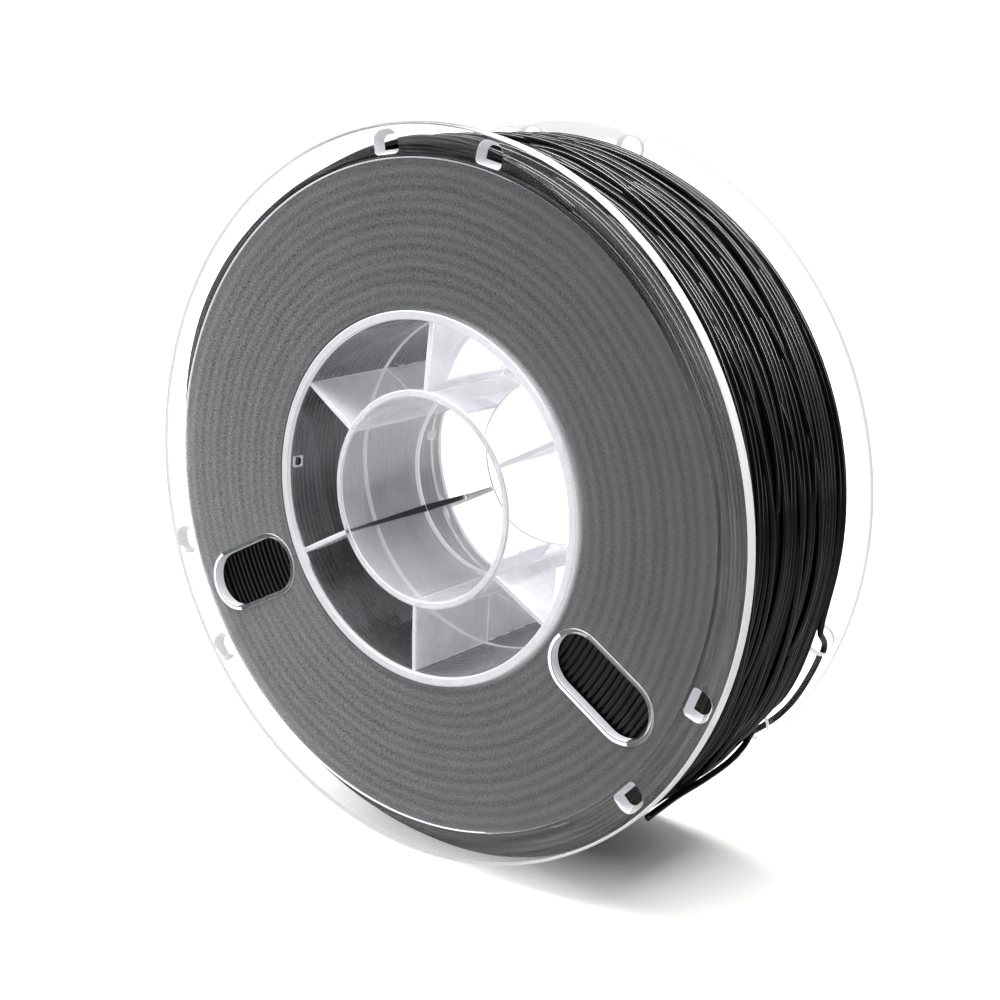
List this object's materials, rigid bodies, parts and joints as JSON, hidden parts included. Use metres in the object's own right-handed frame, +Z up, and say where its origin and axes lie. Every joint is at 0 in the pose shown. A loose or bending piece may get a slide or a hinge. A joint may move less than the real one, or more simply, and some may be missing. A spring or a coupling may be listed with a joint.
{
  "type": "filament spool",
  "caption": "Clear two-piece spool with frosted side panels, slotted windows and rim holes, fully wound with round black printing filament whose free end is stowed in the rim.",
  "frame": {"origin": "centre of the spool: on its turning axis, in the middle plane where the two halves meet", "axes": "+Z up; the turning axis is Y, with the front flange on the -Y side and the rear flange, which holds the strand's free end, on the +Y side"},
  "size_m": [0.2, 0.0695, 0.2],
  "materials": {
    "clear_front": "clear moulded polystyrene, frosted panel",
    "clear_rear": "clear moulded polystyrene, frosted panel",
    "filament_black": "satin extruded strand"
  },
  "bodies": {
    "spool": {"front_half": "clear_front", "rear_half": "clear_rear", "filament_pack": "filament_black", "filament_outer_turns": "filament_black", "filament_stowed_end": "filament_black"},
    "tail": {"filament_tail": "filament_black"}
  },
  "joints": [
    {"name": "tail_lift", "type": "hinge", "parent": "spool", "child": "tail", "pos_m": [0.0716, 0.0288, -0.06425], "axis": [0.6678, 0, 0.7443], "range_deg": [0, 45]}
  ]
}
